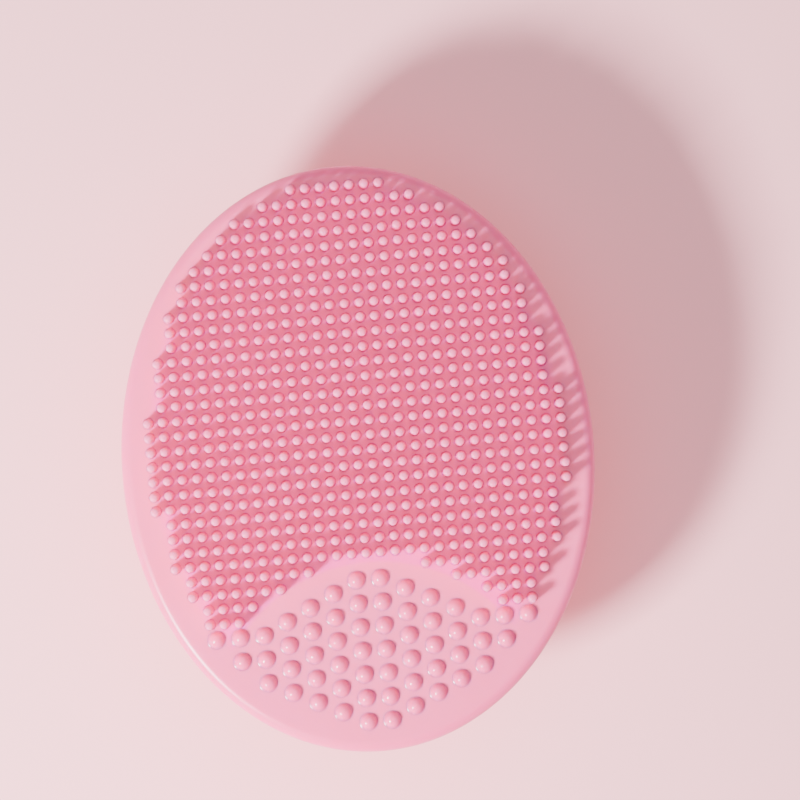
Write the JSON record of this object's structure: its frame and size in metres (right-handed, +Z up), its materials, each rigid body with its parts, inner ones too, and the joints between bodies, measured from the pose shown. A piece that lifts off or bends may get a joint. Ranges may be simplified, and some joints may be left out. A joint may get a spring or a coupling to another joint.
{
  "type": "facial cleansing brush",
  "caption": "Oval soft silicone face scrubber pad with fine bristles and a fan of round massage nubs, on a waisted neck with a suction cup.",
  "frame": {"origin": "on the surface the suction cup's lip rests on, under the middle of the oval pad", "axes": "+Z up out of the bristle tips, along the cup's and neck's axis; +Y along the pad's long axis, away from the nubs; +X across the pad"},
  "size_m": [0.058, 0.072, 0.025],
  "materials": {
    "pad_silicone": "satin translucent silicone",
    "bristle_silicone": "satin translucent silicone",
    "grip_silicone": "satin translucent silicone"
  },
  "bodies": {
    "lip": {"cup_lip": "grip_silicone"},
    "cup": {"cup_dome": "grip_silicone", "neck_foot": "grip_silicone"},
    "waist": {"neck_waist": "grip_silicone"},
    "pad": {"neck_head": "grip_silicone", "pad_plate": "pad_silicone", "bristle_row_01": "bristle_silicone", "bristle_row_02": "bristle_silicone", "bristle_row_03": "bristle_silicone", "bristle_row_04": "bristle_silicone", "bristle_row_05": "bristle_silicone", "bristle_row_06": "bristle_silicone", "bristle_row_07": "bristle_silicone", "bristle_row_08": "bristle_silicone", "bristle_row_09": "bristle_silicone", "bristle_row_10": "bristle_silicone", "bristle_row_11": "bristle_silicone", "bristle_row_12": "bristle_silicone", "bristle_row_13": "bristle_silicone", "bristle_row_14": "bristle_silicone", "bristle_row_15": "bristle_silicone", "bristle_row_16": "bristle_silicone", "bristle_row_17": "bristle_silicone", "bristle_row_18": "bristle_silicone", "bristle_row_19": "bristle_silicone", "bristle_row_20": "bristle_silicone", "bristle_row_21": "bristle_silicone", "bristle_row_22": "bristle_silicone", "bristle_row_23": "bristle_silicone", "bristle_row_24": "bristle_silicone", "bristle_row_25": "bristle_silicone", "bristle_row_26": "bristle_silicone", "bristle_row_27": "bristle_silicone", "bristle_row_28": "bristle_silicone", "bristle_row_29": "bristle_silicone", "bristle_row_30": "bristle_silicone", "nub_row_1": "pad_silicone", "nub_row_2": "pad_silicone", "nub_row_3": "pad_silicone", "nub_row_4": "pad_silicone", "nub_row_5": "pad_silicone", "nub_row_6": "pad_silicone", "nub_row_7": "pad_silicone"}
  },
  "joints": [
    {"name": "cup_press", "type": "slide", "parent": "lip", "child": "cup", "axis": [0, 0, -1], "range_m": [0, 0.003], "stiffness_N_per_m": 30, "springref_m": -0.01, "deforming": ["cup_lip"]},
    {"name": "neck_bend_side", "type": "hinge", "parent": "cup", "child": "waist", "pos_m": [0, 0, 0.01275], "axis": [0, 1, 0], "range_deg": [-15, 15], "stiffness_Nm_per_rad": 0.01, "deforming": ["neck_waist"]},
    {"name": "neck_bend_end", "type": "hinge", "parent": "waist", "child": "pad", "pos_m": [0, 0, 0.01275], "axis": [1, 0, 0], "range_deg": [-15, 15], "stiffness_Nm_per_rad": 0.01, "deforming": ["neck_waist"]}
  ]
}
